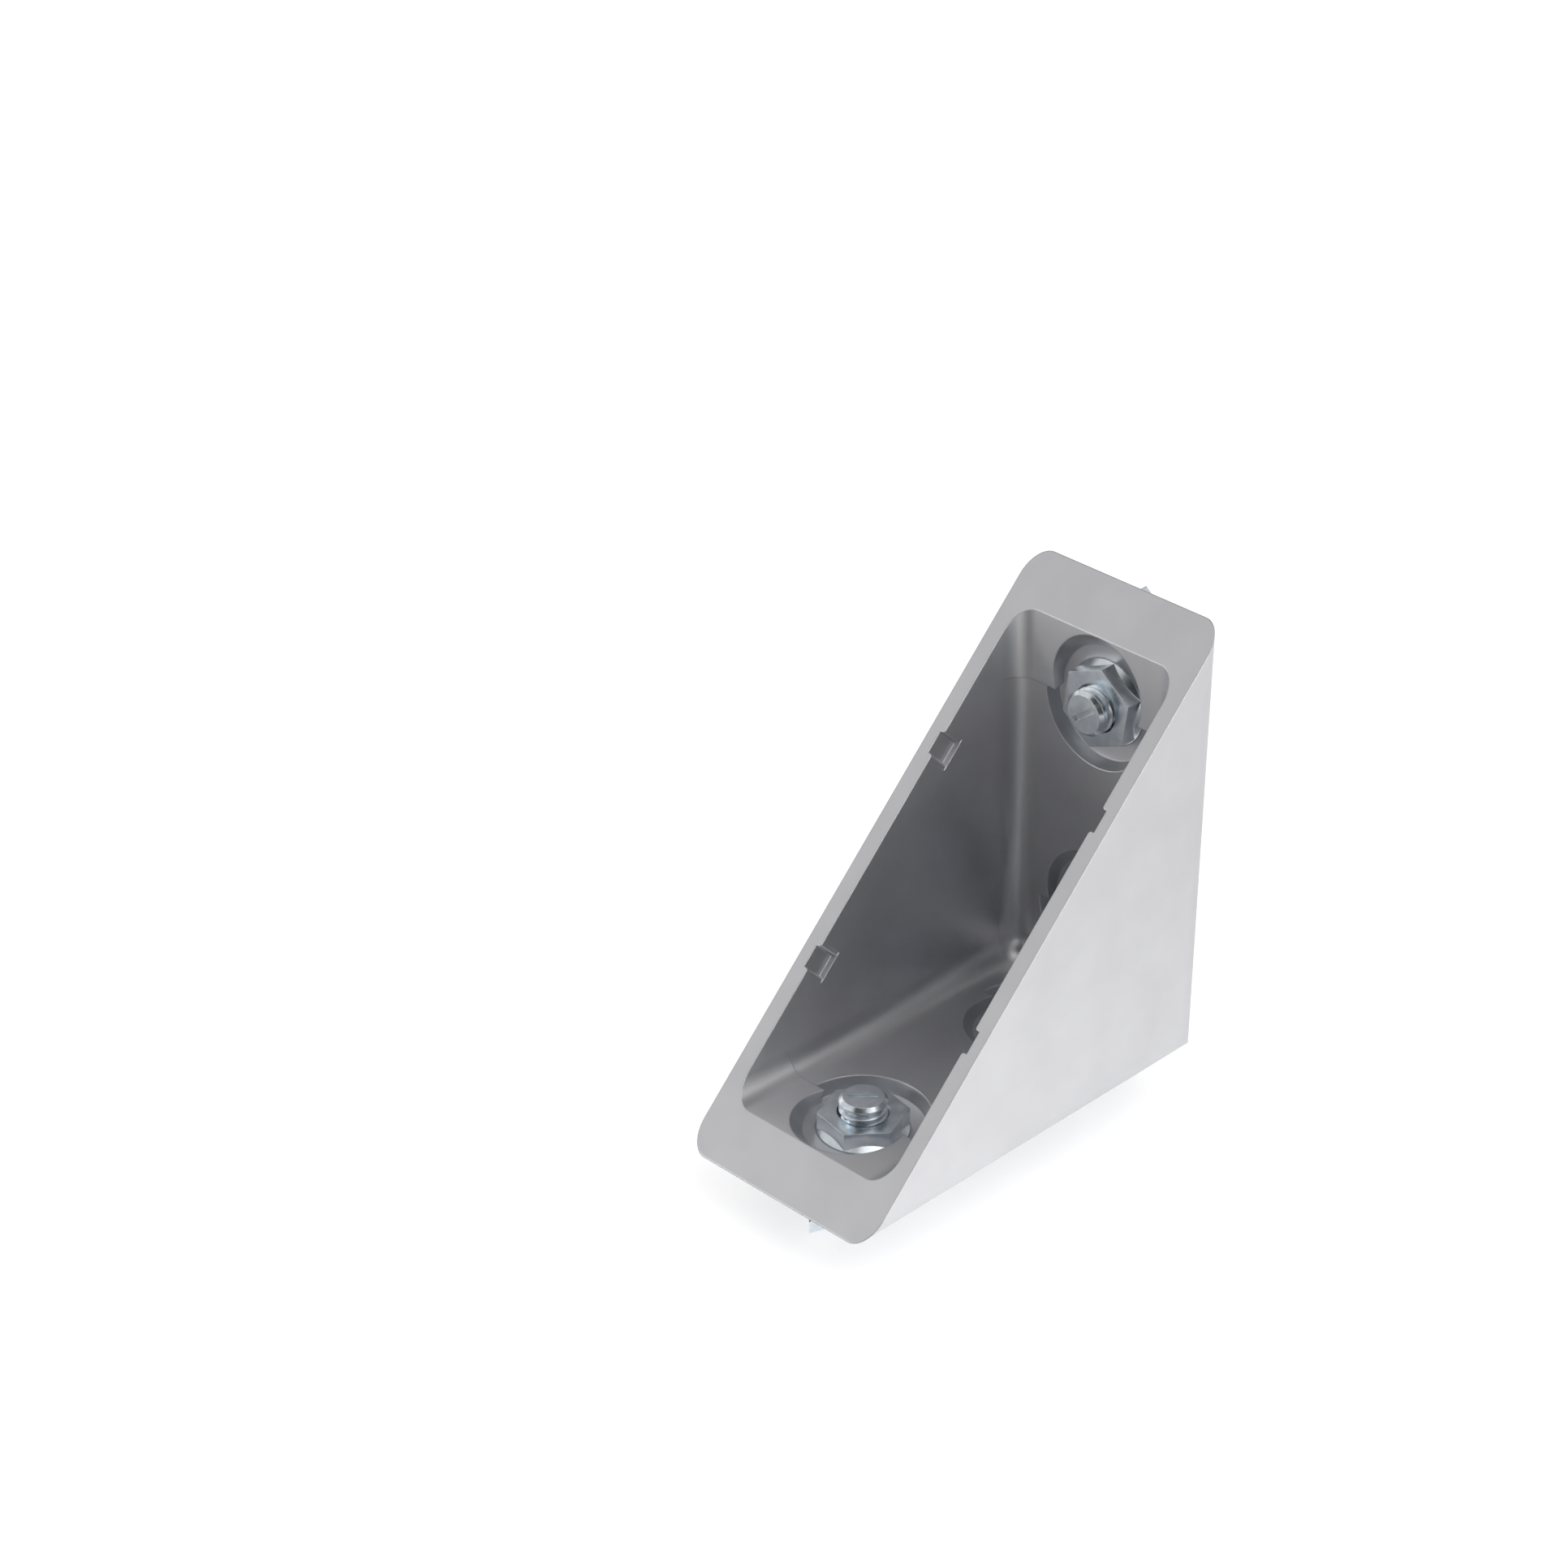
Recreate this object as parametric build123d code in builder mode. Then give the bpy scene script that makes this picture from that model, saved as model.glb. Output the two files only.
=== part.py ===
from build123d import *

import os
from math import cos, radians, sin, sqrt, tan

# A die-cast corner bracket for 40 mm aluminium profile with an 8 mm T slot, with the T bolts,
# collar nuts and locating pins that fix it. Millimetres.
# The origin is at the heel, where the two outer leg faces meet, at mid width. +X runs along the
# base leg to its toe, +Z up the back leg to its toe, and +Y across the bracket.
# The open side is the rim, the slanted plane from toe to toe.

# Casting: overall size and walls
leg_length = 80.0
width = 40.0
leg_thickness = 6.6
toe_thickness = 7.0
side_wall = 3.0
draft_angle = 0.8
outer_radius = 4.0
inner_radius = 4.0

# Casting: bolt holes, measured from the heel along each leg
first_hole = 20.0
hole_pitch = 40.0
thread_diameter = 8.0
hole_clearance = 0.6

# Casting: the nut pocket round each hole, with its heights above the outer leg face
seat_diameter = 15.5
seat_height = 4.0
pocket_diameter = 20.4
floor_height = 4.25
pocket_draft = 20.0
toe_wall_diameter = 18.8
toe_wall_shift = 0.4
tool_overrun = 0.9

# Casting: the centring lug on the heel side of each hole
slot_width = 8.0
slot_clearance = 0.1
lug_depth = 4.0
lug_length = 3.7
lug_corner = 1.5
lug_draft = 3.0

# Casting: the four grooves in the rim that a cover cap would clip into
notch_pitch = 40.0
notch_width = 4.0
notch_depth = 0.9
notch_run = 5.0
notch_corner = 0.5

# Locating pins, pressed into blind holes on the toe side of each bolt hole
pin_diameter = 5.0
pin_length = 5.2
pin_press_depth = 2.0
pin_offset = 10.0
pin_chamfer = 0.3

# Collar nuts
nut_across_flats = 13.0
nut_hex_height = 3.4
collar_diameter = 15.1
collar_band = 0.3
ledge_angle = 37.0
thread_clearance = 0.1
nut_mouth_chamfer = 0.25
base_nut_turn = 20.0
back_nut_turn = 52.7

# T bolts
slot_lip = 4.5
tip_projection = 2.8
tip_chamfer = 0.6
neck_diameter = 8.4
neck_height = 0.8
head_width = 7.7
head_edge = 24.6
head_end_angle = 45.0
head_side = 2.1
head_depth = 5.2
head_under_taper = 15.0
mark_length = 5.3
mark_width = 0.8
mark_depth = 0.4
nib_diameter = 0.9
nib_height = 0.35
nib_inset = 0.9
bolt_turns = {"base_outer": 0.0, "base_inner": -8.0, "back_outer": -6.5, "back_inner": -6.5}

# Worked out from the sizes above
hole_radius = (thread_diameter + hole_clearance) / 2
seat_radius = seat_diameter / 2
pocket_radius = pocket_diameter / 2
floor_slope = (floor_height - seat_height) / (pocket_radius - seat_radius)
pin_radius = pin_diameter / 2
lug_width = slot_width - slot_clearance
seat_bottom = seat_height - (seat_radius - hole_radius)
nut_bore_radius = (thread_diameter + thread_clearance) / 2
nut_height = seat_height - (seat_diameter - collar_diameter) / 2
nut_top = nut_height + nut_hex_height
stud_top = nut_top + tip_projection
outer_hole = first_hole + hole_pitch
rim_middle = (leg_length / 2, 0, leg_length / 2)
rim_half_length = leg_length / sqrt(2)
hole_places = {"inner": first_hole, "outer": outer_hole}

# Planes that the shapes are drawn on
side_view = Plane.XZ
rim = Plane(origin=rim_middle, x_dir=(1, 0, -1), z_dir=(1, 0, 1))
draft_view = Plane(origin=rim_middle, x_dir=(0, 1, 0), z_dir=(1, 0, -1))
mitre = Plane(origin=(0, 0, 0), x_dir=(0, 1, 0), z_dir=(1, 0, -1))
under_base = Plane(origin=(0, 0, 0), x_dir=(1, 0, 0), z_dir=(0, 0, -1))


def upright(seat):
    """The plane through a seat's axis: local x is radial, local y runs up the axis."""
    return Plane(origin=seat.origin, x_dir=seat.x_dir, z_dir=-seat.y_dir)


def drafted_slab(rim_half_width):
    """All the space between two side planes that lean in by the draft towards the heel."""
    spare = outer_radius
    lean = tan(radians(draft_angle))
    top_half = rim_half_width + spare * lean
    heel_half = rim_half_width - (rim_half_length + spare) * lean
    heel_level = -(rim_half_length + spare)
    with BuildPart() as slab:
        with BuildSketch(draft_view):
            with BuildLine():
                Polyline(
                    (-top_half, spare),
                    (top_half, spare),
                    (heel_half, heel_level),
                    (-heel_half, heel_level),
                    close=True,
                )
            make_face()
        extrude(amount=2 * leg_length, both=True)
    return slab.part


def cavity(thickness, reach, slab):
    """The hollow between the side walls, down to a leg thickness, as far as reach along each leg."""
    with BuildPart() as hollow:
        with BuildSketch(side_view):
            with BuildLine():
                Polyline(
                    (thickness, thickness),
                    (reach, thickness),
                    (reach, reach),
                    (thickness, reach),
                    close=True,
                )
            make_face()
        extrude(amount=width, both=True)
        add(slab, mode=Mode.INTERSECT)
        bottom_edges = hollow.edges().filter_by(
            lambda edge: min(edge.center().X, edge.center().Z) < thickness + 0.01
            and max(edge.center().X, edge.center().Z) < reach - 0.01
            and edge.center().X + edge.center().Z < leg_length
        )
        fillet(bottom_edges, radius=inner_radius)
    return hollow.part


def nut_pocket(hole):
    """The cutter for one hole of the base leg: bore, conical seat, dished floor and pocket walls."""
    axis = Axis((hole, 0, 0), (0, 0, 1))
    section = Plane(origin=(hole, 0, 0), x_dir=(1, 0, 0), z_dir=(0, -1, 0))
    wall_top = toe_thickness + tool_overrun
    wall_top_radius = pocket_radius + (wall_top - floor_height) * tan(radians(pocket_draft))
    wide_floor_height = seat_height + (leg_length - seat_radius) * floor_slope
    with BuildPart() as heel_side:
        with BuildSketch(section):
            with BuildLine():
                Polyline(
                    (0, seat_height),
                    (seat_radius, seat_height),
                    (pocket_radius, floor_height),
                    (wall_top_radius, wall_top),
                    (0, wall_top),
                    close=True,
                )
            make_face()
        revolve(axis=axis)
        split(bisect_by=Plane(origin=(hole, 0, 0), z_dir=(1, 0, 0)), keep=Keep.BOTTOM)
    # the toe side of the wall follows the pull of the mould, square to the rim
    with BuildPart() as toe_side:
        with BuildSketch(Plane.XY.offset(seat_height)):
            with Locations((hole + toe_wall_shift, 0)):
                Circle(toe_wall_diameter / 2)
        extrude(amount=(wall_top - seat_height) * sqrt(2), dir=(1, 0, 1))
        with BuildSketch(section):
            with BuildLine():
                Polyline(
                    (0, seat_height),
                    (seat_radius, seat_height),
                    (leg_length, wide_floor_height),
                    (leg_length, leg_length),
                    (0, leg_length),
                    close=True,
                )
            make_face()
        revolve(axis=axis, mode=Mode.INTERSECT)
    with BuildPart() as cutter:
        with BuildSketch(section):
            with BuildLine():
                Polyline(
                    (0, -2 * lug_depth),
                    (hole_radius, -2 * lug_depth),
                    (hole_radius, seat_bottom),
                    (seat_radius, seat_height),
                    (0, seat_height),
                    close=True,
                )
            make_face()
        revolve(axis=axis)
        add(heel_side.part)
        add(toe_side.part)
    return cutter.part


def base_leg_cuts():
    """Everything cut into the base leg: the nut pockets and the blind pin holes."""
    with BuildPart() as cuts:
        for hole in hole_places.values():
            add(nut_pocket(hole))
        with BuildSketch(Plane.XY):
            with Locations(*[(hole + pin_offset, 0) for hole in hole_places.values()]):
                Circle(pin_radius)
        extrude(amount=pin_press_depth)
    return cuts.part


def base_leg_lugs():
    """The two lugs under the base leg that centre the bracket in the profile's slot."""
    with BuildPart() as lugs:
        for hole in hole_places.values():
            near = hole - hole_radius / 4
            far = hole - hole_radius - lug_length
            with BuildSketch(under_base):
                with Locations(((near + far) / 2, 0)):
                    Rectangle(near - far, lug_width)
                heel_corners = vertices().group_by(Axis.X)[0]
                fillet(heel_corners, radius=lug_corner)
            extrude(amount=lug_depth, taper=lug_draft)
    return lugs.part


def notch_profile():
    """One groove seen along its run: square inside, with its mouth rounded into the wall's face."""
    with BuildSketch() as profile:
        Rectangle(notch_width, 2 * notch_depth)
        with Locations((0, -notch_depth)):
            Rectangle(notch_width + 2 * notch_depth, 2 * notch_depth)
        mouth_corners = profile.vertices().filter_by(
            lambda corner: abs(corner.Y) < 0.01 and abs(corner.X) < notch_width / 2 + 0.01
        )
        fillet(mouth_corners, radius=notch_corner)
    return profile.sketch


def bracket_casting():
    """The casting: two legs and two side walls in one piece."""
    outer_slab = drafted_slab(width / 2)
    inner_slab = drafted_slab(width / 2 - side_wall)
    toe_cavity = cavity(toe_thickness, leg_length, inner_slab)
    heel_cavity = cavity(leg_thickness, outer_hole, inner_slab)
    base_cuts = base_leg_cuts()
    back_cuts = mirror(base_cuts, about=mitre)
    base_lugs = base_leg_lugs()
    back_lugs = mirror(base_lugs, about=mitre)
    with BuildPart() as casting:
        with BuildSketch(side_view):
            with BuildLine():
                Polyline((0, 0), (leg_length, 0), (0, leg_length), close=True)
            make_face()
        extrude(amount=width, both=True)
        add(outer_slab, mode=Mode.INTERSECT)
        long_edges = casting.edges().filter_by(
            lambda edge: abs(edge.center().Y) > width / 4
            and min(edge.center().X, edge.center().Z) < 0.01
        )
        fillet(long_edges, radius=outer_radius)
        add(toe_cavity, mode=Mode.SUBTRACT)
        add(heel_cavity, mode=Mode.SUBTRACT)
        add(base_lugs)
        add(back_lugs)
        add(base_cuts, mode=Mode.SUBTRACT)
        add(back_cuts, mode=Mode.SUBTRACT)
        with BuildSketch(rim):
            for side, turn in ((1, 0), (-1, 180)):
                inner_face = side * (width / 2 - side_wall)
                for along in (-notch_pitch / 2, notch_pitch / 2):
                    with Locations(Location((along, inner_face, 0), (0, 0, turn))):
                        add(notch_profile())
        extrude(amount=-notch_run, mode=Mode.SUBTRACT)
    return casting


def collar_nut(seat):
    """A hexagon nut with a round collar and a conical underside that sits in the seat."""
    collar_radius = collar_diameter / 2
    flat_radius = nut_across_flats / 2
    foot_radius = nut_bore_radius + nut_mouth_chamfer
    ledge_rise = (collar_radius - flat_radius) * tan(radians(ledge_angle))
    axis = Axis(seat.origin, seat.z_dir)
    with BuildPart() as nut:
        with BuildSketch(upright(seat)):
            with BuildLine():
                Polyline(
                    (nut_bore_radius, nut_height - (collar_radius - foot_radius)),
                    (foot_radius, nut_height - (collar_radius - foot_radius)),
                    (collar_radius, nut_height),
                    (collar_radius, nut_height + collar_band),
                    (flat_radius, nut_height + collar_band + ledge_rise),
                    (nut_bore_radius, nut_height + collar_band + ledge_rise),
                    close=True,
                )
            make_face()
        revolve(axis=axis)
        with BuildSketch(seat.offset(nut_height + collar_band)):
            RegularPolygon(flat_radius, 6, major_radius=False)
            Circle(nut_bore_radius, mode=Mode.SUBTRACT)
        extrude(amount=nut_hex_height - collar_band)
        mouth = nut.edges().filter_by(GeomType.CIRCLE).sort_by(axis)[-1]
        chamfer(mouth, length=nut_mouth_chamfer)
    return nut


def t_bolt(seat):
    """A T bolt in one piece: threaded stud, short neck and a flat head with slanted ends."""
    head_top = -slot_lip
    end_lean = head_width / tan(radians(head_end_angle))
    long_u = (head_edge + end_lean) / 2
    short_u = (head_edge - end_lean) / 2
    half_width = head_width / 2
    outline = [
        (-long_u, -half_width),
        (short_u, -half_width),
        (long_u, half_width),
        (-short_u, half_width),
    ]
    belly = head_depth - head_side
    belly_radius = (long_u**2 + belly**2) / (2 * belly)
    nib_u = short_u - nib_inset
    nib_v = half_width - nib_inset
    with BuildPart() as bolt:
        with BuildSketch(seat.offset(head_top)):
            with BuildLine():
                Polyline(*outline, close=True)
            make_face()
        extrude(amount=-head_side)
        with BuildSketch(seat.offset(head_top - head_side)):
            with BuildLine():
                Polyline(*outline, close=True)
            make_face()
        extrude(amount=-belly, taper=head_under_taper)
        # the underside is a shallow arc along the head
        with BuildSketch(upright(seat)):
            with Locations((0, head_top - head_depth + belly_radius)):
                Circle(belly_radius)
        extrude(amount=head_width, both=True, mode=Mode.INTERSECT)
        with BuildSketch(seat.offset(head_top)):
            Circle(neck_diameter / 2)
        extrude(amount=neck_height, taper=head_under_taper)
        with BuildSketch(seat.offset(head_top)):
            Circle(thread_diameter / 2)
        extrude(amount=stud_top - head_top)
        tip_edge = bolt.edges().filter_by(GeomType.CIRCLE).sort_by(Axis(seat.origin, seat.z_dir))[-1]
        chamfer(tip_edge, length=tip_chamfer)
        # the mark across the tip is square to the head's slanted ends
        with BuildSketch(seat.offset(stud_top)):
            Rectangle(mark_length, mark_width, rotation=head_end_angle + 90)
        extrude(amount=-mark_depth, mode=Mode.SUBTRACT)
        with BuildSketch(seat.offset(head_top)):
            with Locations((nib_u, -nib_v), (-nib_u, nib_v)):
                Circle(nib_diameter / 2)
        extrude(amount=nib_height, taper=45)
    return bolt


def locating_pin(seat):
    """A short round pin, pressed into the leg's outer face and standing out into the slot."""
    with BuildPart() as pin:
        with BuildSketch(seat.offset(pin_press_depth)):
            Circle(pin_radius)
        extrude(amount=-pin_length)
        chamfer(pin.edges().filter_by(GeomType.CIRCLE), length=pin_chamfer)
    return pin


def leg_plane(leg, distance, turn=0.0):
    """A plane on a leg's outer face at a distance from the heel: local z points to the inside."""
    along = cos(radians(turn))
    across = sin(radians(turn))
    if leg == "base":
        return Plane(origin=(distance, 0, 0), x_dir=(along, across, 0), z_dir=(0, 0, 1))
    return Plane(origin=(0, 0, distance), x_dir=(0, -across, along), z_dir=(1, 0, 0))


pieces = {"bracket_casting": bracket_casting()}
nut_turns = {"base": base_nut_turn, "back": back_nut_turn}
for leg in ("base", "back"):
    for row, hole in hole_places.items():
        place = f"{leg}_{row}"
        pieces[f"collar_nut_{place}"] = collar_nut(leg_plane(leg, hole, nut_turns[leg]))
        pieces[f"t_bolt_{place}"] = t_bolt(leg_plane(leg, hole, bolt_turns[place]))
        pieces[f"locating_pin_{place}"] = locating_pin(leg_plane(leg, hole + pin_offset))

os.makedirs("parts", exist_ok=True)
for name, piece in pieces.items():
    piece.part.label = name
    export_step(piece.part, f"parts/{name}.step")
    size = piece.part.bounding_box().size
    print(f"{name}: {piece.part.volume:.1f} mm3, {size.X:.1f} x {size.Y:.1f} x {size.Z:.1f} mm")
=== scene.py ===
# %% [markdown]
# # A die-cast corner bracket for T-slot profile
#
# The real object is a small aluminium casting, about 80 mm along each leg, with the parts that fix
# it: four T bolts and four collar nuts of steel, and four plastic locating pins. Its solids are
# already made to size, so this lesson is about the finish: satin cast metal, zinc plating, moulded
# plastic, a real screw thread on each stud, and studio light that lets plain metal look like metal.
#
# Everything is in metres. The base leg lies along X, the back leg stands along Z, and the corner
# where their outer faces meet is the origin.

import math

import bmesh
import bpy
from mathutils import Matrix, Vector


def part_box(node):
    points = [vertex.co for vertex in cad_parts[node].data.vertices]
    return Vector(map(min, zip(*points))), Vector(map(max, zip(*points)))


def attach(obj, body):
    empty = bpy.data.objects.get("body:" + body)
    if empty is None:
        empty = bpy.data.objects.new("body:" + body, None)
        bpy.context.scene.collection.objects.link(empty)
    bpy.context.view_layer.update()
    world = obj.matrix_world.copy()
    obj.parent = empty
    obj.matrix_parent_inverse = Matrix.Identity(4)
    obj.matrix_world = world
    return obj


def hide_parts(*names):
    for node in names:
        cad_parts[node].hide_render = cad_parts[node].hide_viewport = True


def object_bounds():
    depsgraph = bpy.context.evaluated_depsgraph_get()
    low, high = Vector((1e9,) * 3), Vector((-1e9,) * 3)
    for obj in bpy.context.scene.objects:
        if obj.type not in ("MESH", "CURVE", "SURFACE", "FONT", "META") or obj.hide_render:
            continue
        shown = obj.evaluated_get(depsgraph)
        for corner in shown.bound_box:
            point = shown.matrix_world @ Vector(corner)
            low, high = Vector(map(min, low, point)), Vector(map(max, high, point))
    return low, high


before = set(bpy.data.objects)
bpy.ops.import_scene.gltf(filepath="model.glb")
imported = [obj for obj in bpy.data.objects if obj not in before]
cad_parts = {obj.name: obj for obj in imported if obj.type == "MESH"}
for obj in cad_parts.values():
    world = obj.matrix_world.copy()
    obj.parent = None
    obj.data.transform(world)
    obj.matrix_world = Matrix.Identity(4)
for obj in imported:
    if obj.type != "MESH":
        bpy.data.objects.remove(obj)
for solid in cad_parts.values():
    solid.data.update()
bpy.context.view_layer.update()
cad_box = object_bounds()
mm = 0.001
print("nodes:", len(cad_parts))
print("box in mm:", [[round(x / mm, 2) for x in corner] for corner in cad_box])

# %% [markdown]
# ## The camera
#
# A product picture like this one is taken from a few object lengths away with a long lens, so that
# parallel edges stay nearly parallel. The lens sees 21 degrees across. The bracket isn't in the
# middle of the picture: the camera aims at a point beside it, which needs no lens shift.

# %% The camera
camera_place = Vector((0.467964, 0.392460, 0.396382))
camera_aim = Vector((0.077898, 0.0, 0.074934))
camera_data = bpy.data.cameras.new("studio_camera")
camera_data.sensor_width = 36.0
camera_data.lens = 98.366
camera = bpy.data.objects.new("studio_camera", camera_data)
bpy.context.scene.collection.objects.link(camera)
camera.location = camera_place
camera.rotation_mode = "QUATERNION"
camera.rotation_quaternion = (camera_aim - camera_place).to_track_quat("-Z", "Y")
camera_data.clip_start = 0.01
camera_data.clip_end = 20.0
bpy.context.scene.camera = camera
bpy.context.scene.view_settings.view_transform = "Standard"
print("camera to its aim:", round((camera_place - camera_aim).length, 3), "m")

# %% [markdown]
# ## Shader maths in plain Python
#
# A finish is a recipe: a bit of fine noise for the grain, a slower one for the cloudiness, and a sum
# that turns them into a roughness. Wiring that by hand hides the recipe, so a socket is wrapped in a
# small class whose operators add the Math nodes. Then `0.3 + 0.1 * grain` is a piece of the shader.

# %% Sockets that do arithmetic
class Reading:
    """An output socket of a shader node; arithmetic on it adds Math nodes."""

    def __init__(self, finish, socket):
        self.finish = finish
        self.socket = socket

    def combine(self, operation, first, second):
        return self.finish.node("ShaderNodeMath", {"operation": operation}, {0: first, 1: second})

    def __add__(self, other):
        return self.combine("ADD", self, other)

    def __sub__(self, other):
        return self.combine("SUBTRACT", self, other)

    def __rsub__(self, other):
        return self.combine("SUBTRACT", other, self)

    def __mul__(self, other):
        return self.combine("MULTIPLY", self, other)

    __radd__ = __add__
    __rmul__ = __mul__


class Finish:
    """A material, with one way to add any node to it."""

    def __init__(self, name):
        self.material = bpy.data.materials.new(name)
        self.material.use_nodes = True
        self.nodes = self.material.node_tree.nodes
        self.links = self.material.node_tree.links
        self.surface = self.nodes["Principled BSDF"]

    def set(self, sockets, target):
        for key, value in sockets.items():
            socket = target.inputs[key]
            if isinstance(value, Reading):
                self.links.new(value.socket, socket)
            else:
                socket.default_value = value

    def node(self, kind, settings=None, sockets=None, output=0):
        """Adds a node of a kind with its settings and sockets, and reads one of its outputs."""
        made = self.nodes.new(kind)
        for key, value in (settings or {}).items():
            setattr(made, key, value)
        self.set(sockets or {}, made)
        return Reading(self, made.outputs[output])

    def noise(self, grain_size, detail=2.0, roughness=0.5):
        """Noise whose blotches are about grain_size metres across, from 0 to 1."""
        return self.node(
            "ShaderNodeTexNoise",
            {"noise_dimensions": "3D"},
            {"Vector": self.place, "Scale": 1.0 / grain_size, "Detail": detail, "Roughness": roughness},
        )

    @property
    def place(self):
        """Where a point of the surface is, in metres."""
        return self.node("ShaderNodeTexCoord", output="Object")

    def spread(self, reading, low, high):
        """Stretches a reading so that low becomes 0 and high becomes 1, and clips it there."""
        return self.node(
            "ShaderNodeMapRange",
            {"clamp": True},
            {"Value": reading, "From Min": low, "From Max": high},
        )

    def blend(self, share, first, second):
        """A colour between two colours."""
        return self.node(
            "ShaderNodeMix",
            {"data_type": "RGBA"},
            {0: share, 6: (*first, 1.0), 7: (*second, 1.0)},
            2,
        )

    def eased_edges(self, radius):
        """The surface's normal with its sharp edges rounded off over a radius in metres."""
        return self.node("ShaderNodeBevel", {"samples": 6}, {"Radius": radius}, "Normal")

    def bump(self, height, depth, normal):
        """The normal of a surface that rises by depth metres where height is 1."""
        return self.node(
            "ShaderNodeBump",
            None,
            {"Height": height, "Distance": depth, "Normal": normal},
            "Normal",
        )


print("shader helpers ready")

# %% [markdown]
# ## Cast aluminium
#
# The bracket is die-cast and then tumbled, which leaves a satin skin: clearly metal, but every
# reflection is soft. Two noises make it up. A grain of a fraction of a millimetre breaks the
# reflections, and slow clouds of about a centimetre shift the tone and the gloss and keep the skin
# from being perfectly flat. Every edge has a small radius that catches the light. The Bevel node
# rounds the edges in the shading alone, so the solid keeps its true size.

# %% Cast aluminium
def cast_aluminium():
    finish = Finish("satin_casting")
    grain = finish.noise(0.35 * mm, detail=3.0, roughness=0.6)
    cloud = finish.noise(9.0 * mm, detail=2.0)
    metal = finish.blend(finish.spread(cloud, 0.3, 0.7), (0.63, 0.63, 0.65), (0.67, 0.67, 0.69))
    edges = finish.eased_edges(0.30 * mm)
    wavy = finish.bump(cloud, 0.008 * mm, edges)
    rough = 0.37 + 0.02 * finish.spread(cloud, 0.3, 0.7) + 0.04 * finish.spread(grain, 0.3, 0.7)
    finish.set(
        {
            "Base Color": metal,
            "Metallic": 1.0,
            "Roughness": rough,
            "Normal": finish.bump(grain, 0.0012 * mm, wavy),
        },
        finish.surface,
    )
    return finish.material


cast_finish = cast_aluminium()
print(cast_finish.name, "has", len(cast_finish.node_tree.nodes), "nodes")

# %% [markdown]
# ## Zinc plating
#
# The nuts and T bolts are steel, zinc plated and blue passivated. The plating is shiny and faintly
# blue, and it is patchy: pale frosty flakes of a millimetre or so lie among clearer, darker patches.
# Large and small noise together give patches with ragged outlines, and the same mask makes the
# frosty places both paler and rougher, as they are on the real plating.

# %% Zinc plating
def zinc_plating():
    finish = Finish("blue_zinc_plating")
    patches = finish.noise(2.2 * mm, detail=4.0, roughness=0.6)
    specks = finish.noise(0.25 * mm, detail=2.0)
    frost = finish.spread(patches + 0.10 * specks, 0.40, 0.75)
    plate = finish.blend(frost, (0.66, 0.72, 0.77), (0.84, 0.88, 0.91))
    edges = finish.eased_edges(0.13 * mm)
    finish.set(
        {
            "Base Color": plate,
            "Metallic": 1.0,
            "Roughness": 0.20 + 0.08 * frost,
            "Normal": finish.bump(frost, 0.0006 * mm, edges),
        },
        finish.surface,
    )
    return finish.material


zinc_finish = zinc_plating()
print(zinc_finish.name, "has", len(zinc_finish.node_tree.nodes), "nodes")

# %% [markdown]
# ## Moulded plastic
#
# The locating pins are dark grey plastic with the dull skin of a small moulding: a fine even
# texture and a soft highlight along the side.

# %% Moulded plastic
def moulded_plastic():
    finish = Finish("moulded_plastic")
    texture = finish.noise(0.12 * mm, detail=2.0)
    tone = finish.noise(2.5 * mm, detail=2.0)
    finish.set(
        {
            "Base Color": finish.blend(tone, (0.075, 0.075, 0.076), (0.095, 0.095, 0.096)),
            "Roughness": 0.40 + 0.12 * texture,
            "Normal": finish.bump(texture, 0.004 * mm, finish.eased_edges(0.2 * mm)),
        },
        finish.surface,
    )
    return finish.material


plastic_finish = moulded_plastic()
print(plastic_finish.name, "has", len(plastic_finish.node_tree.nodes), "nodes")

# %% [markdown]
# ## Finishes for the solids that stay as they are
#
# The casting, the nuts and the pins already have their true shape, so they only change materials.

# %% Finish the casting, nuts and pins
finishes = {
    "cast_aluminium": cast_finish,
    "zinc_plated_steel": zinc_finish,
    "dark_plastic": plastic_finish,
}
for name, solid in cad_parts.items():
    for surface in solid.material_slots:
        surface.material = finishes[surface.material.name]
print("finished:", len(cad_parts), "solids")

# %% [markdown]
# ## The T bolts and their screw thread
#
# A T bolt is one piece of steel: a flat head with slanted ends that drops into the profile's slot and
# turns there, a short neck, and an M8 stud. The solid has a plain stud. A normal-map thread would
# look painted on where the stud stands out of its nut, so the thread is cut in the mesh, the way a
# lathe does it: the outline of one thread is repeated up the stud, and then swept once round the axis
# while it climbs by one pitch. The outline keeps its points at the crests and roots, so the edges
# stay crisp with few faces.

# %% Sizes of the M8 thread
stud_radius = 4.0 * mm
thread_pitch = 1.25 * mm
# the usual depth of a metric screw thread, as a share of its pitch
depth_share = 0.6134
thread_depth = depth_share * thread_pitch
crest_width = thread_pitch / 8
flank_angle = 30
root_width = thread_pitch - crest_width - 2 * thread_depth * math.tan(math.radians(flank_angle))
round_steps = 96
lip_thickness = 4.5 * mm
neck_height = 0.8 * mm
tip_chamfer = 0.6 * mm
cut_margin = 0.05 * mm
thread_weld = 0.002 * mm
solid_weld = 0.001 * mm
thread_bottom = -lip_thickness + neck_height + cut_margin
print("thread depth in mm:", round(thread_depth / mm, 3), "root width:", round(root_width / mm, 3))


# %% [markdown]
# The stud is worked on upright, with its axis on Z and the leg's outer face at zero. The bolts of the
# back leg lie along X, so they are turned upright first and turned back at the end.

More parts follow.
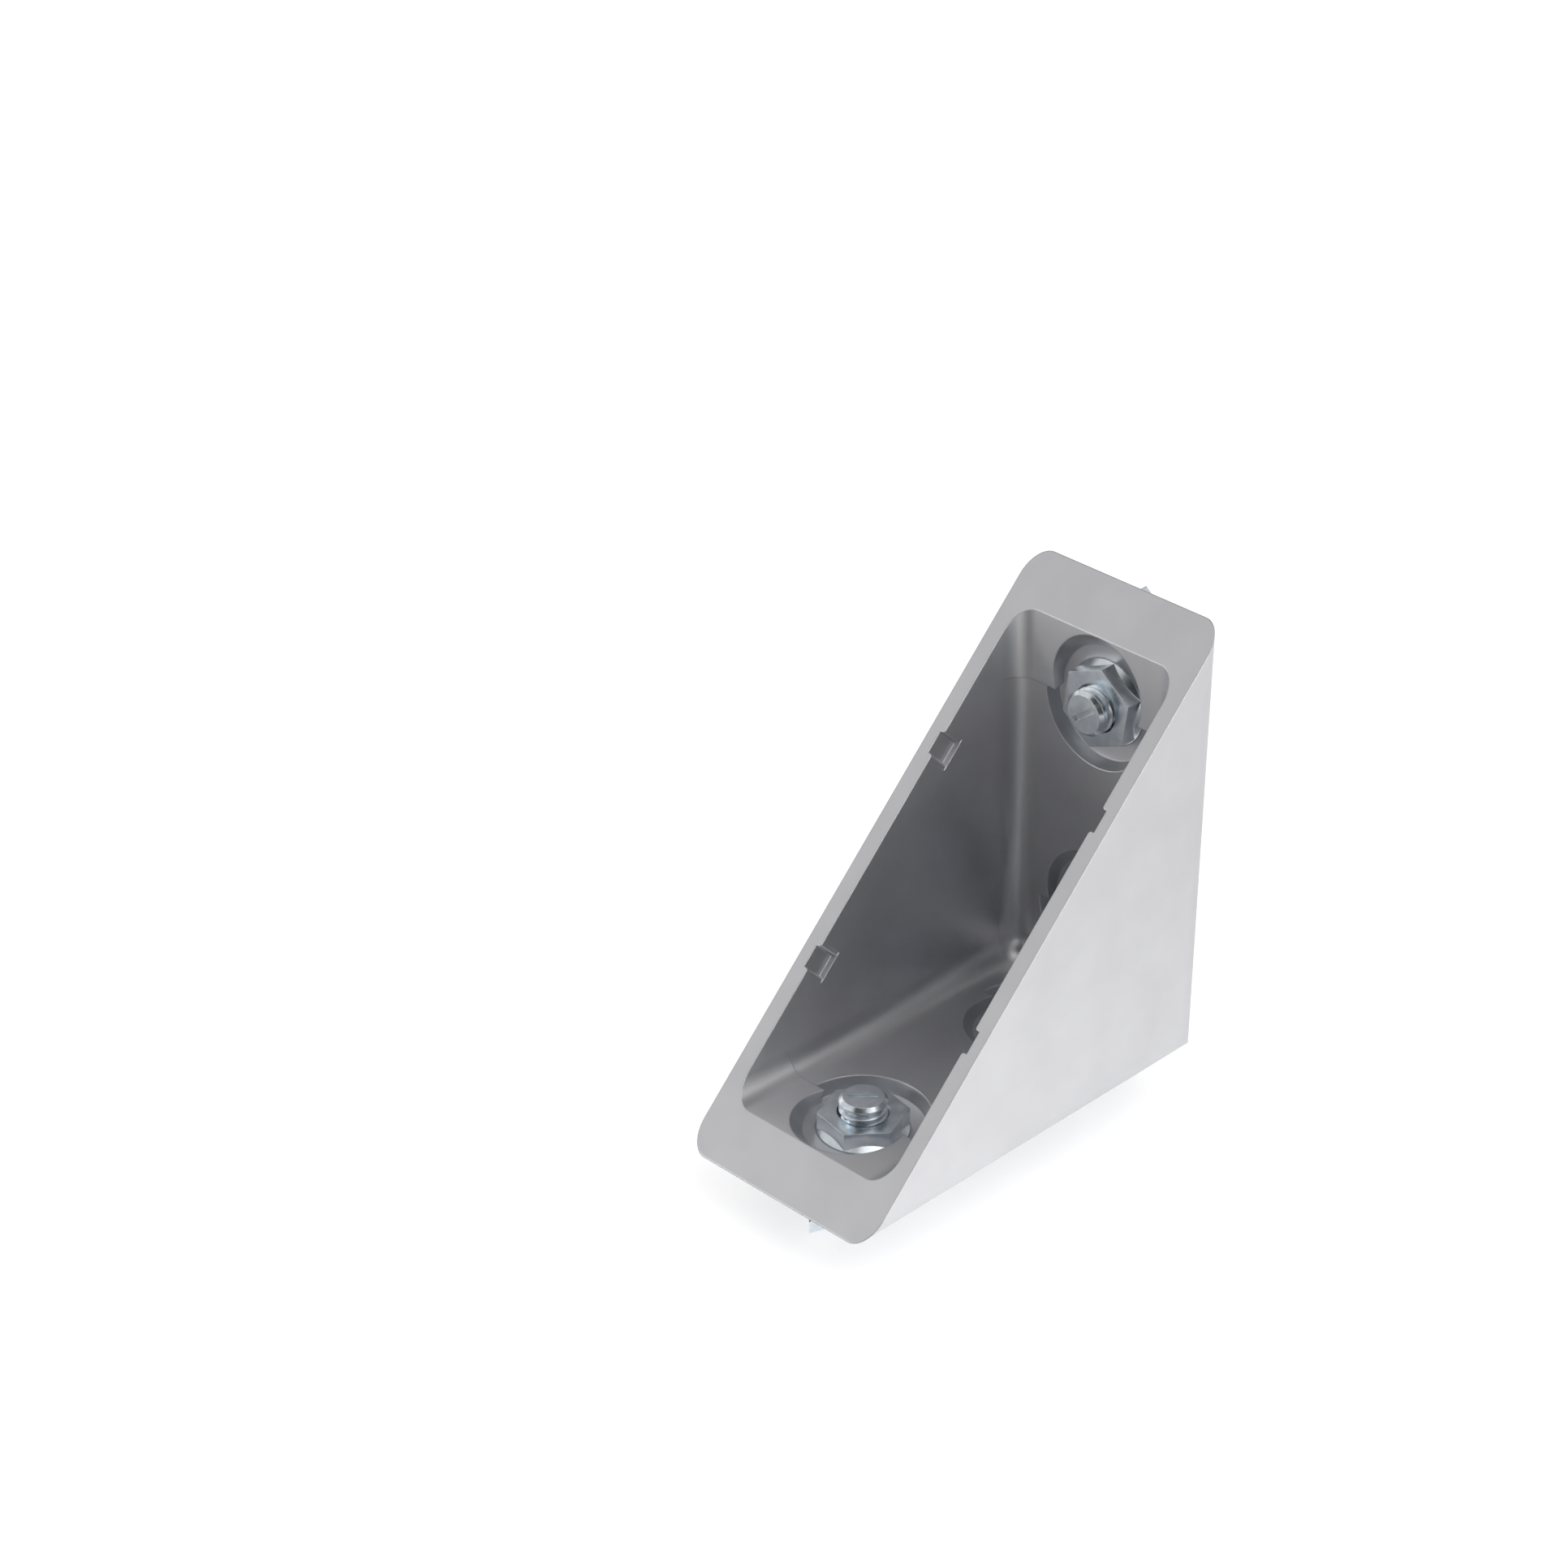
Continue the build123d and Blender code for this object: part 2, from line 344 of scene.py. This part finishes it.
# %% From a bolt's place to the upright bench
def bench_matrix(bolt):
    """Takes the upright bench position to the bolt's place in the bracket."""
    low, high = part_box(bolt)
    middle = (low + high) / 2
    if "_base_" in bolt:
        return Matrix.Translation((middle.x, 0.0, 0.0))
    turned = Matrix(((0, 0, 1), (0, -1, 0), (1, 0, 0))).to_4x4()
    return Matrix.Translation((0.0, 0.0, middle.z)) @ turned


def thread_outline(shape, bottom, top):
    """A chain of edges with the outline of the thread, from below the bottom to above the top."""
    half_crest = crest_width / 2
    flank = (thread_pitch - crest_width - root_width) / 2
    one_thread = [
        (stud_radius, -half_crest),
        (stud_radius, half_crest),
        (stud_radius - thread_depth, half_crest + flank),
        (stud_radius - thread_depth, half_crest + flank + root_width),
    ]
    turns = math.ceil((top - bottom) / thread_pitch) + 2
    chain = []
    for turn in range(turns):
        level = bottom + (turn - 1) * thread_pitch
        chain += [shape.verts.new((radius, 0.0, level + rise)) for radius, rise in one_thread]
    return chain + [shape.edges.new(pair) for pair in zip(chain, chain[1:])]


def thread_tube(bottom, top):
    """The skin of the threaded stud between two levels, open at both ends."""
    shape = bmesh.new()
    outline = thread_outline(shape, bottom, top)
    bmesh.ops.spin(
        shape,
        geom=outline,
        cent=(0, 0, 0),
        axis=(0, 0, 1),
        dvec=(0, 0, thread_pitch / round_steps),
        angle=2 * math.pi,
        steps=round_steps,
        use_merge=False,
    )
    bmesh.ops.remove_doubles(shape, verts=shape.verts, dist=thread_weld)
    for level, outwards in ((bottom, -1), (top, 1)):
        bmesh.ops.bisect_plane(
            shape,
            geom=shape.verts[:] + shape.edges[:] + shape.faces[:],
            plane_co=(0, 0, level),
            plane_no=(0, 0, outwards),
            clear_outer=True,
        )
    return shape


trial = thread_tube(0.0, 10 * mm)
trial_rim = sum(edge.is_boundary for edge in trial.edges)
print("faces on 10 mm of thread:", len(trial.faces), "open edges:", trial_rim)
trial.free()

# %% [markdown]
# The head, the neck and the slotted tip are kept from the solid: a copy is cut twice, the plain
# length between the cuts goes, and the threaded skin is bridged in. A rolled thread runs out over
# part of a turn at both ends, so the roots rise to the full radius there.

# %% Run the thread out at both ends
def run_out(shape, bottom, top, length):
    """Raises the roots of the thread to the stud's radius over a length at both ends."""
    for point in shape.verts:
        share = min((point.co.z - bottom) / length, (top - point.co.z) / length, 1.0)
        radius = math.hypot(point.co.x, point.co.y)
        wanted = stud_radius - (stud_radius - radius) * max(share, 0.0)
        point.co.x *= wanted / radius
        point.co.y *= wanted / radius


def mark_sharp_edges(shape, angle):
    """Smooth shading with crisp edges where two faces meet at more than an angle in degrees."""
    for face in shape.faces:
        face.smooth = True
    for edge in shape.edges:
        edge.smooth = edge.is_manifold and edge.calc_face_angle() < math.radians(angle)


# %% Cut the plain stud out and bridge the thread in
bridge = 0.12 * mm
run_out_length = 0.7 * mm
crisp_angle = 28


def drop_plain_stud(shape, cuts):
    """Cuts the bolt at two levels and deletes the plain skin of the stud between them."""
    for level in cuts:
        bmesh.ops.bisect_plane(
            shape,
            geom=shape.verts[:] + shape.edges[:] + shape.faces[:],
            plane_co=(0, 0, level),
            plane_no=(0, 0, 1),
        )
    plain = [face for face in shape.faces if cuts[0] < face.calc_center_median().z < cuts[1]]
    bmesh.ops.delete(shape, geom=plain, context="FACES")


def add_thread(shape, cuts):
    """Puts the threaded skin between the two cuts and bridges its rims to them."""
    ends = (cuts[0] + bridge, cuts[1] - bridge)
    tube = thread_tube(*ends)
    run_out(tube, *ends, run_out_length)
    skin = bpy.data.meshes.new("thread_skin")
    tube.to_mesh(skin)
    tube.free()
    shape.from_mesh(skin)
    bpy.data.meshes.remove(skin)
    for level in cuts:
        rims = [
            edge
            for edge in shape.edges
            if edge.is_boundary and all(abs(point.co.z - level) < 2 * bridge for point in edge.verts)
        ]
        bmesh.ops.bridge_loops(shape, edges=rims)


# %% Build the four threaded bolts
def threaded_bolt(name):
    """A T bolt with a real thread, in place of the solid with the plain stud."""
    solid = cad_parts[name]
    bench = bench_matrix(name)
    shape = bmesh.new()
    shape.from_mesh(solid.data)
    bmesh.ops.remove_doubles(shape, verts=shape.verts, dist=solid_weld)
    shape.transform(bench.inverted())
    stud_top = max(point.co.z for point in shape.verts)
    cuts = (thread_bottom, stud_top - tip_chamfer - cut_margin)
    drop_plain_stud(shape, cuts)
    add_thread(shape, cuts)
    bmesh.ops.recalc_face_normals(shape, faces=shape.faces)
    mark_sharp_edges(shape, crisp_angle)
    shape.transform(bench)
    mesh = bpy.data.meshes.new(f"threaded_{name}")
    shape.to_mesh(mesh)
    open_edges = sum(edge.is_boundary for edge in shape.edges)
    shape.free()
    bolt = bpy.data.objects.new(f"threaded_{name}", mesh)
    bpy.context.scene.collection.objects.link(bolt)
    mesh.materials.append(zinc_finish)
    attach(bolt, "root")
    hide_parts(name)
    print(bolt.name, "faces:", len(mesh.polygons), "open edges:", open_edges)


for name in sorted(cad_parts):
    if name.startswith("t_bolt"):
        threaded_bolt(name)

# %% [markdown]
# ## The floor
#
# The floor is plain and nearly white. The light falls on it as on any surface, and a little of its
# own glow, seen by the camera and in reflections, lifts it to white, so that the shadow under the
# bracket stays soft and pale. In reflections the glow is stronger in a pool by the bracket's foot:
# this is a painted pool of light, and it makes the side wall paler towards the base. The floor's back
# is see-through, so the underside can be looked at.

# %% The floor
floor_half_side = 3.0
glow_seen = 0.42
glow_mirrored = 0.20
pool_glow = 0.34
pool_middle = (0.060, 0.035, 0.0)
pool_radius = 0.12


def pale_floor():
    finish = Finish("pale_floor")
    seen, glossy, through = [
        finish.node("ShaderNodeLightPath", output=f"Is {kind} Ray")
        for kind in ("Camera", "Glossy", "Transmission")
    ]
    distance = finish.node(
        "ShaderNodeVectorMath",
        {"operation": "DISTANCE"},
        {0: finish.place, 1: pool_middle},
        "Value",
    )
    # near marks a painted pool of light round the bracket's foot, added to the glow that only
    # reflections see
    near = 1.0 - finish.spread(distance, 0.0, pool_radius)
    glow = glow_seen * seen + (glossy + through) * (glow_mirrored + pool_glow * near)
    finish.set(
        {
            "Base Color": (0.90, 0.90, 0.90, 1.0),
            "Roughness": 1.0,
            "Specular IOR Level": 0.0,
            "Emission Color": glow,
            "Emission Strength": 1.0,
        },
        finish.surface,
    )
    clear = finish.node("ShaderNodeBsdfTransparent")
    behind = finish.node("ShaderNodeNewGeometry", output="Backfacing")
    front = Reading(finish, finish.surface.outputs[0])
    mix = finish.node("ShaderNodeMixShader", None, {0: behind, 1: front, 2: clear})
    finish.links.new(mix.socket, finish.nodes["Material Output"].inputs["Surface"])
    return finish.material


floor_mesh = bpy.data.meshes.new("studio_floor")
sheet = bmesh.new()
bmesh.ops.create_grid(sheet, x_segments=1, y_segments=1, size=floor_half_side)
bmesh.ops.translate(sheet, verts=sheet.verts, vec=(0, 0, cad_box[0].z))
sheet.to_mesh(floor_mesh)
sheet.free()
floor = bpy.data.objects.new("studio_floor", floor_mesh)
bpy.context.scene.collection.objects.link(floor)
floor_mesh.materials.append(pale_floor())
print("floor at", round(cad_box[0].z / mm, 2), "mm")

# %% [markdown]
# ## The light
#
# Metal shows its surroundings, so the light is a set of plain surfaces. The world is an even pale
# grey, and one wide lamp hangs high to one side. Three smaller lamps put the bright lines on the
# rounded edges. Only reflections see them, so the metal shows them and the floor doesn't. Four grey
# cards are for reflections too. The darkest one is behind the camera and gives the hollow something
# dark to reflect, because walls that mirror an even pale world show little shade.

# %% World, lamps and cards
world_strength = 0.70
world = bpy.data.worlds.new("studio_world")
world.use_nodes = True
world.node_tree.nodes["Background"].inputs["Color"].default_value = (1.0, 1.0, 1.0, 1.0)
world.node_tree.nodes["Background"].inputs["Strength"].default_value = world_strength
bpy.context.scene.world = world
look_at = (cad_box[0] + cad_box[1]) / 2


def soft_lamp(name, place, size, watts):
    """A square lamp of one size that faces the bracket."""
    data = bpy.data.lights.new(name, "AREA")
    data.shape = "SQUARE"
    data.size = size
    data.energy = watts
    lamp = bpy.data.objects.new(name, data)
    bpy.context.scene.collection.objects.link(lamp)
    lamp.location = place
    lamp.rotation_mode = "QUATERNION"
    lamp.rotation_quaternion = (look_at - lamp.location).to_track_quat("-Z", "Y")
    return lamp


edge_lamp_distance = 0.9


def edge_lamp(name, direction, size, watts):
    """A small lamp for the rounded edges: only reflections see it."""
    lamp = soft_lamp(name, look_at + edge_lamp_distance * Vector(direction).normalized(), size, watts)
    lamp.visible_diffuse = False
    lamp.visible_camera = False


soft_lamp("overhead_lamp", (0.05, 0.60, 0.95), size=1.0, watts=3.0)
edge_lamp("right_edge_lamp", (0.05, 0.95, 0.20), size=0.5, watts=3.0)
edge_lamp("front_edge_lamp", (0.50, 0.60, 0.60), size=0.12, watts=0.15)
edge_lamp("left_edge_lamp", (0.79, -0.61, 0.10), size=0.25, watts=0.8)


def grey_card(name, place, facing, width, depth, grey):
    """A card that only reflections see: it is hidden from the camera and casts no shadow."""
    finish = Finish(name)
    matt = {"Base Color": (grey, grey, grey, 1.0), "Roughness": 1.0, "Specular IOR Level": 0.0}
    finish.set(matt, finish.surface)
    mesh = bpy.data.meshes.new(name)
    sheet = bmesh.new()
    bmesh.ops.create_grid(sheet, x_segments=1, y_segments=1, size=0.5)
    bmesh.ops.scale(sheet, verts=sheet.verts, vec=(width, depth, 1.0))
    sheet.to_mesh(mesh)
    sheet.free()
    mesh.materials.append(finish.material)
    card = bpy.data.objects.new(name, mesh)
    bpy.context.scene.collection.objects.link(card)
    card.location = place
    card.rotation_mode = "QUATERNION"
    card.rotation_quaternion = facing.to_track_quat("Z", "Y")
    card.visible_camera = False
    card.visible_shadow = False
    card.visible_diffuse = False


away = (camera_place - look_at).normalized()
behind = Vector((-0.62, 0.05, 0.78))
upwards = Vector((0.0, 0.0, 1.0))
camera_card_distance = 1.0
sky_card_distance = 0.9
card_lift = 1.0 * mm
card_level = cad_box[0].z + card_lift
camera_card_place = look_at + camera_card_distance * away
front_place = Vector((0.42, 0.02, card_level))
left_place = Vector((0.42, -0.30, card_level))
sky_place = look_at + sky_card_distance * behind
grey_card("camera_card", camera_card_place, -away, width=1.5, depth=1.5, grey=0.04)
grey_card("front_card", front_place, upwards, width=0.64, depth=0.14, grey=0.12)
grey_card("left_card", left_place, upwards, width=0.64, depth=0.50, grey=0.60)
grey_card("sky_card", sky_place, -behind, width=0.8, depth=0.8, grey=0.22)
print("lamps and cards in place")
